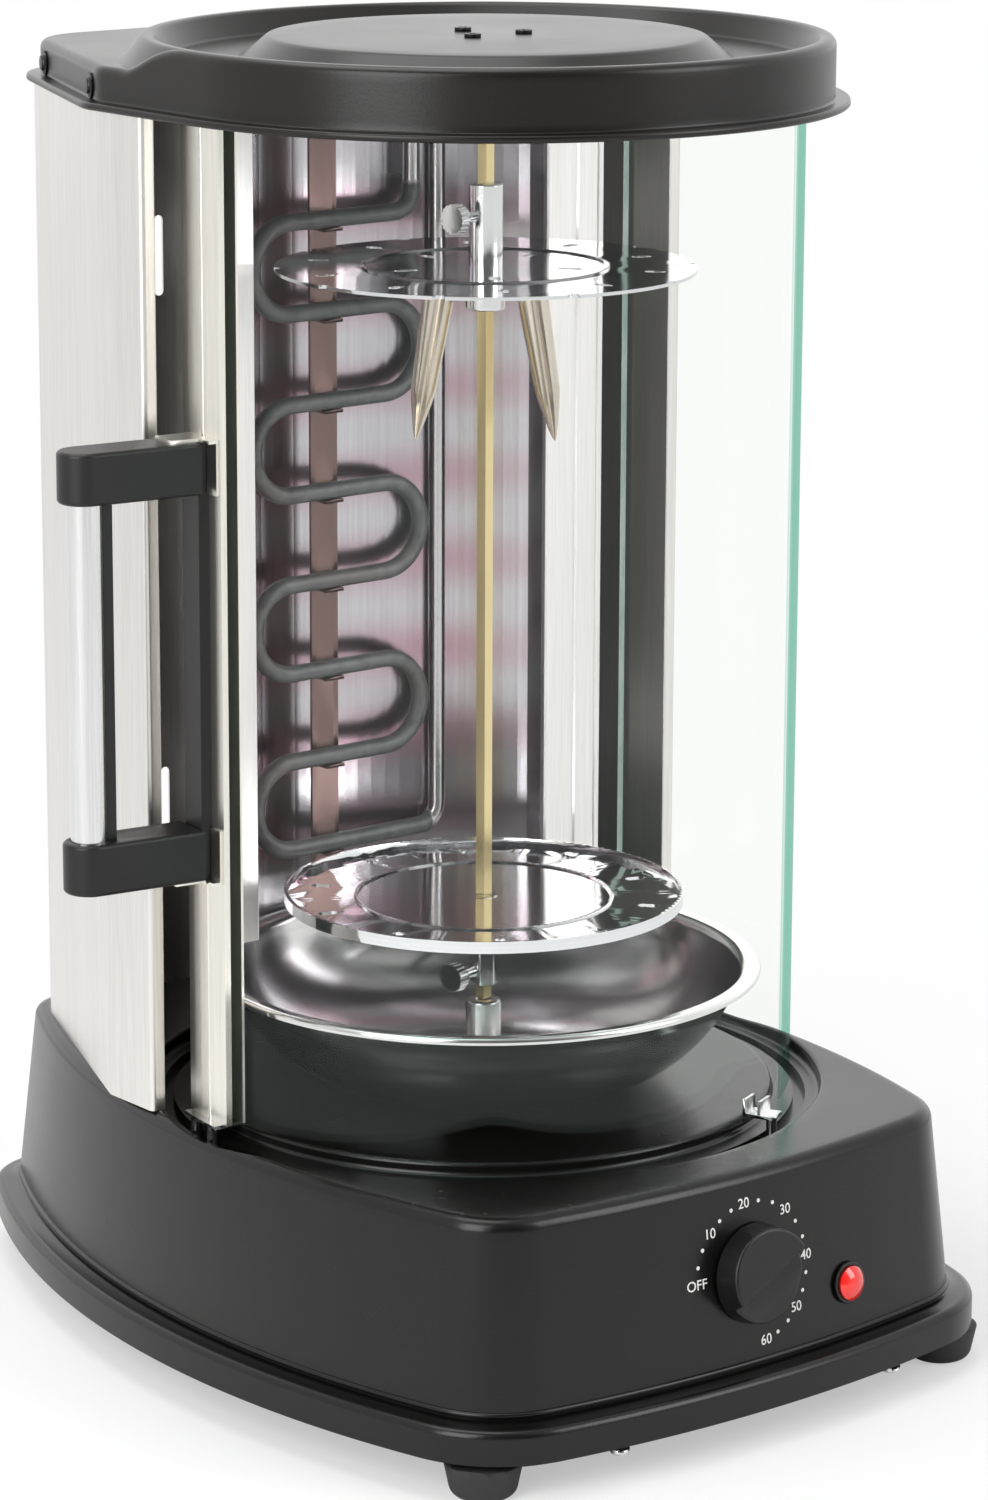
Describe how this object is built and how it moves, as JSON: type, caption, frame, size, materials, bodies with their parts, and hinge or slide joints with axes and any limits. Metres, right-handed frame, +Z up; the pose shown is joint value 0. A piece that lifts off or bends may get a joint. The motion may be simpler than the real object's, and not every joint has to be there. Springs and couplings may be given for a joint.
{
  "type": "electric skewer grill",
  "caption": "Upright electric grill with a turning spit between two discs, a curved glass door that slides round the chamber, a drip pan and a timer dial.",
  "frame": {"origin": "middle of the object's box, on the surface that the feet stand on", "axes": "+Z up along the spit, -Y to the front with the timer dial, +X to the right of someone who faces the dial"},
  "size_m": [0.3046, 0.3642, 0.4688],
  "materials": {
    "base_housing": "satin black moulded housing",
    "base_plate": "black painted sheet with air slots",
    "feet": "black rubber",
    "base_screws": "zinc plated screws",
    "spindle_bush": "turned steel",
    "timer_body": "natural moulded timer case",
    "timer_nut": "zinc plated",
    "timer_shaft": "turned steel",
    "timer_knob": "satin black knob",
    "lamp_holder": "black lamp holder",
    "power_lamp_lens": "translucent red lens",
    "cord_gland": "black nylon gland",
    "terminal_block": "cream terminal block",
    "drip_pan": "polished pressed steel",
    "spit_rod": "square steel rod with a golden tint",
    "upper_disc": "polished steel",
    "upper_hub": "polished steel",
    "upper_thumbscrew": "plated, knurled head",
    "meat_fork": "polished steel",
    "lower_disc": "polished steel",
    "lower_hub": "polished steel",
    "lower_thumbscrew": "plated, knurled head",
    "drive_coupling": "turned steel",
    "drive_motor": "pressed steel motor case",
    "cap_shell": "satin black enamel",
    "cap_base": "pressed steel sheet",
    "motor_screws": "dark screws",
    "rear_housing": "brushed stainless sheet",
    "liner": "bright reflector sheet",
    "jamb_left": "bright steel strip",
    "jamb_right": "bright steel strip",
    "heating_element": "dark grey sheathed tube",
    "element_insulators": "cream ceramic",
    "element_support": "steel strip",
    "thermal_cutout": "dark moulded body",
    "wire_duct": "aluminium tube",
    "wire_loom": "sleeved wires",
    "door_glass": "clear tempered glass with a green edge",
    "door_stile": "bright steel edge strip",
    "lower_guides": "steel clips and pins",
    "upper_guides": "heat-proof slides",
    "handle_backing": "black strip behind the handle",
    "handle_bracket_top": "satin black moulded arm",
    "handle_bracket_bottom": "satin black moulded arm",
    "handle_grip": "brushed steel tube",
    "grip_spine": "black strip along the back of the grip",
    "handle_clips": "steel tabs",
    "handle_screws": "steel screws",
    "cap_screws": "black screws with washers"
  },
  "bodies": {
    "housing": {"base_housing": "base_housing", "base_plate": "base_plate", "feet": "feet", "base_screws": "base_screws", "spindle_bush": "spindle_bush", "timer_body": "timer_body", "timer_nut": "timer_nut", "lamp_holder": "lamp_holder", "power_lamp_lens": "power_lamp_lens", "cord_gland": "cord_gland", "terminal_block": "terminal_block", "drive_motor": "drive_motor", "cap_shell": "cap_shell", "cap_base": "cap_base", "motor_screws": "motor_screws", "rear_housing": "rear_housing", "liner": "liner", "jamb_left": "jamb_left", "jamb_right": "jamb_right", "heating_element": "heating_element", "element_insulators": "element_insulators", "element_support": "element_support", "thermal_cutout": "thermal_cutout", "wire_duct": "wire_duct", "wire_loom": "wire_loom", "cap_screws": "cap_screws"},
    "pan": {"drip_pan": "drip_pan"},
    "drive": {"drive_coupling": "drive_coupling"},
    "spit": {"spit_rod": "spit_rod"},
    "upper_rack": {"upper_disc": "upper_disc", "upper_hub": "upper_hub", "meat_fork": "meat_fork"},
    "upper_screw": {"upper_thumbscrew": "upper_thumbscrew"},
    "lower_rack": {"lower_disc": "lower_disc", "lower_hub": "lower_hub"},
    "lower_screw": {"lower_thumbscrew": "lower_thumbscrew"},
    "timer": {"timer_shaft": "timer_shaft", "timer_knob": "timer_knob"},
    "door": {"door_glass": "door_glass", "door_stile": "door_stile", "lower_guides": "lower_guides", "upper_guides": "upper_guides", "handle_backing": "handle_backing", "handle_bracket_top": "handle_bracket_top", "handle_bracket_bottom": "handle_bracket_bottom", "handle_grip": "handle_grip", "grip_spine": "grip_spine", "handle_clips": "handle_clips", "handle_screws": "handle_screws"}
  },
  "joints": [
    {"name": "drive_turn", "type": "hinge", "parent": "housing", "child": "drive", "pos_m": [0.01229, -0.01391, 0.433], "axis": [0, 0, 1], "continuous": true},
    {"name": "spit_lift", "type": "slide", "parent": "drive", "child": "spit", "axis": [0, 0, 1], "range_m": [0, 0.008]},
    {"name": "upper_rack_slide", "type": "slide", "parent": "spit", "child": "upper_rack", "axis": [0, 0, 1], "range_m": [-0.15, 0.006]},
    {"name": "upper_screw_turn", "type": "hinge", "parent": "upper_rack", "child": "upper_screw", "pos_m": [0.01229, -0.01391, 0.405], "axis": [-0.9877, -0.1564, 0], "continuous": true},
    {"name": "lower_rack_slide", "type": "slide", "parent": "spit", "child": "lower_rack", "axis": [0, 0, 1], "range_m": [-0.004, 0.15]},
    {"name": "lower_screw_turn", "type": "hinge", "parent": "lower_rack", "child": "lower_screw", "pos_m": [0.01229, -0.01391, 0.133], "axis": [-0.9877, -0.1564, 0], "continuous": true},
    {"name": "timer_turn", "type": "hinge", "parent": "housing", "child": "timer", "pos_m": [0.01229, -0.16122, 0.059], "axis": [0, -0.9938, 0.1111], "range_deg": [-123, 137]},
    {"name": "door_turn", "type": "hinge", "parent": "housing", "child": "door", "pos_m": [0.01229, -0.01391, 0.094], "axis": [0, 0, 1], "range_deg": [0, 140]},
    {"name": "pan_lift", "type": "slide", "parent": "housing", "child": "pan", "axis": [0, 0, 1], "range_m": [0, 0.006]}
  ]
}
